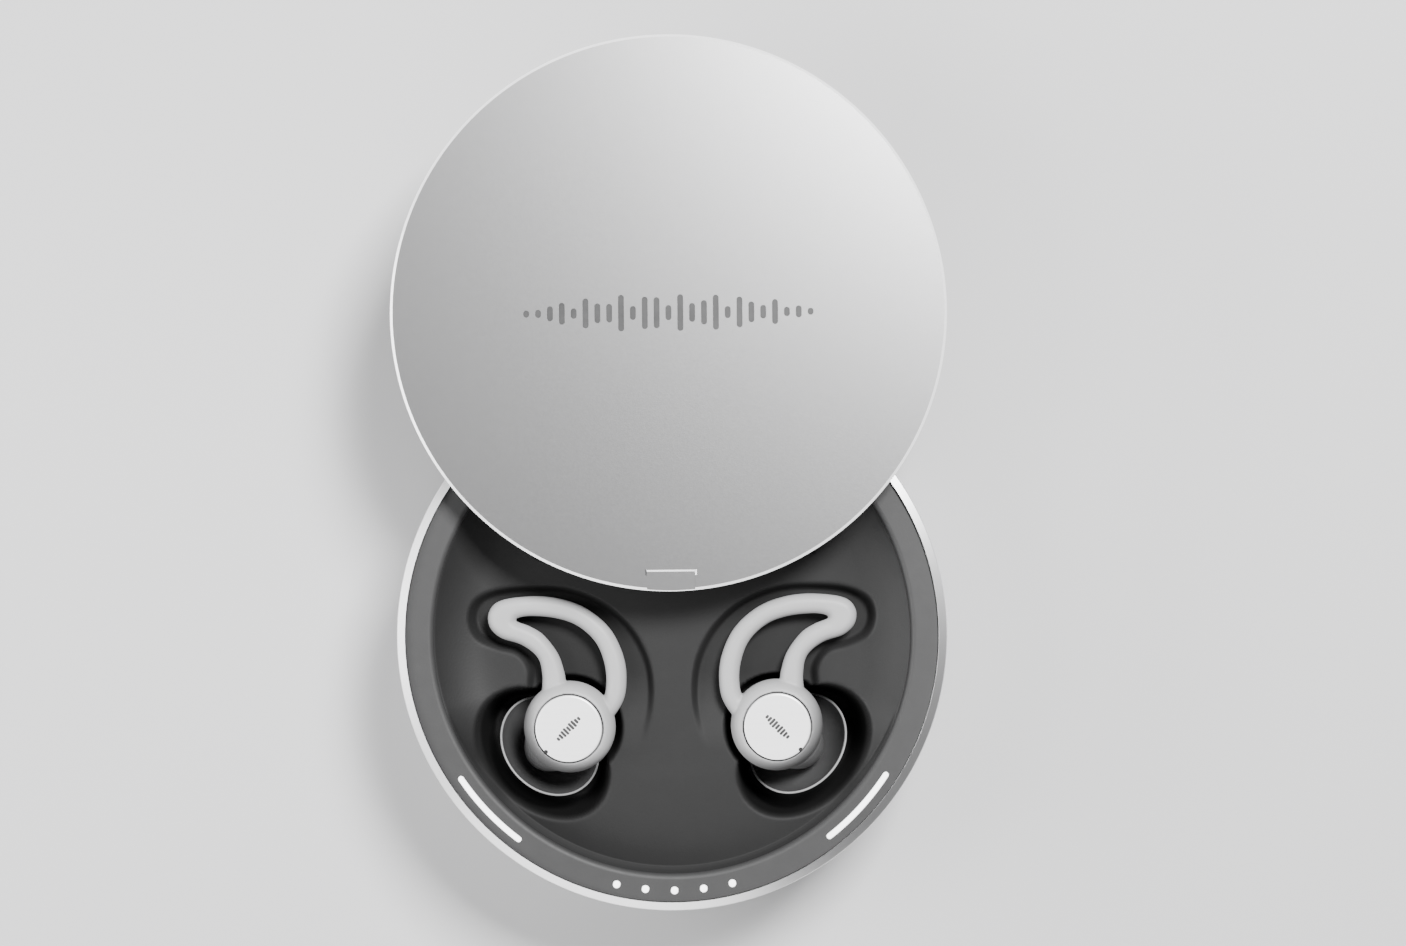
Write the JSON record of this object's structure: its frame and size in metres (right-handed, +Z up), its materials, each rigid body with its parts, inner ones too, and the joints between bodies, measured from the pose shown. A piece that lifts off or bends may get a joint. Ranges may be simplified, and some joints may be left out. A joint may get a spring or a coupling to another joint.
{
  "type": "wireless earbuds case",
  "caption": "Round flat charging case for wireless earbuds, drawn open, with a metal lid that slides back and a dark bowl holding a pair of finned earbuds.",
  "frame": {"origin": "centre of the round foot's underside, on the surface that the case stands on", "axes": "+Z up, +Y to the rear, where the lid slides when it opens and where the charging socket is; +X to the right seen from the front, where the status lights are"},
  "size_m": [0.0762, 0.1206, 0.0279],
  "materials": {
    "satin_aluminium": "bead-blasted and anodised, satin silver",
    "dark_soft_plastic": "dark grey moulding with a soft-touch, very fine grain",
    "ring_plastic": "mid-grey satin moulding",
    "tip_silicone": "pale grey translucent silicone",
    "bud_plastic": "smooth grey moulding",
    "bud_face": "pearl white, brushed",
    "foot_rubber": "dark grey, matt",
    "steel": "plain steel",
    "gold_contact": "gold plated",
    "circuit_board": "solder mask",
    "cell_wrap": "foil wrap",
    "light_lens": "frosted white light guide, lit"
  },
  "bodies": {
    "base": {"base_magnet": "steel", "base_screw_1": "steel", "base_screw_2": "steel", "base_screw_3": "steel", "base_shell": "satin_aluminium", "battery": "cell_wrap", "bottom_cover": "dark_soft_plastic", "charge_socket": "steel", "charge_socket_tongue": "dark_soft_plastic", "deck": "dark_soft_plastic", "foot_pad": "foot_rubber", "guide_screw_1": "steel", "guide_screw_2": "steel", "guide_screw_3": "steel", "guide_screw_4": "steel", "led_board": "circuit_board", "left_bud_light": "light_lens", "left_lid_guide": "steel", "left_pin_block": "dark_soft_plastic", "left_well_magnet": "steel", "light_ring": "ring_plastic", "main_board": "circuit_board", "right_bud_light": "light_lens", "right_lid_guide": "steel", "right_pin_block": "dark_soft_plastic", "right_well_magnet": "steel", "status_light_1": "light_lens", "status_light_2": "light_lens", "status_light_3": "light_lens", "status_light_4": "light_lens", "status_light_5": "light_lens"},
    "lid": {"lid_plate": "satin_aluminium", "lid_liner": "dark_soft_plastic", "lid_magnet_open": "steel", "lid_magnet_closed": "steel"},
    "left_bud": {"left_bud_housing": "bud_plastic", "left_bud_face": "bud_face", "left_ear_tip": "tip_silicone", "left_nozzle_screen": "steel", "left_driver": "steel", "left_coin_cell": "cell_wrap", "left_bud_board": "circuit_board", "left_bud_magnet": "steel", "left_contact_1": "gold_contact", "left_contact_2": "gold_contact"},
    "left_pin_1": {"left_charge_pin_1": "gold_contact"},
    "left_pin_2": {"left_charge_pin_2": "gold_contact"},
    "right_bud": {"right_bud_housing": "bud_plastic", "right_bud_face": "bud_face", "right_ear_tip": "tip_silicone", "right_nozzle_screen": "steel", "right_driver": "steel", "right_coin_cell": "cell_wrap", "right_bud_board": "circuit_board", "right_bud_magnet": "steel", "right_contact_1": "gold_contact", "right_contact_2": "gold_contact"},
    "right_pin_1": {"right_charge_pin_1": "gold_contact"},
    "right_pin_2": {"right_charge_pin_2": "gold_contact"}
  },
  "joints": [
    {"name": "lid_slide", "type": "slide", "parent": "base", "child": "lid", "axis": [0, -1, 0], "range_m": [0, 0.0444]},
    {"name": "left_bud_lift", "type": "slide", "parent": "base", "child": "left_bud", "axis": [0, 0, 1], "range_m": [0, 0.026]},
    {"name": "left_pin_1_travel", "type": "slide", "parent": "base", "child": "left_pin_1", "axis": [0, 0, 1], "range_m": [-0.0008, 0], "stiffness_N_per_m": 100, "springref_m": 0.0008},
    {"name": "left_pin_2_travel", "type": "slide", "parent": "base", "child": "left_pin_2", "axis": [0, 0, 1], "range_m": [-0.0008, 0], "stiffness_N_per_m": 100, "springref_m": 0.0008},
    {"name": "right_bud_lift", "type": "slide", "parent": "base", "child": "right_bud", "axis": [0, 0, 1], "range_m": [0, 0.026]},
    {"name": "right_pin_1_travel", "type": "slide", "parent": "base", "child": "right_pin_1", "axis": [0, 0, 1], "range_m": [-0.0008, 0], "stiffness_N_per_m": 100, "springref_m": 0.0008},
    {"name": "right_pin_2_travel", "type": "slide", "parent": "base", "child": "right_pin_2", "axis": [0, 0, 1], "range_m": [-0.0008, 0], "stiffness_N_per_m": 100, "springref_m": 0.0008}
  ]
}
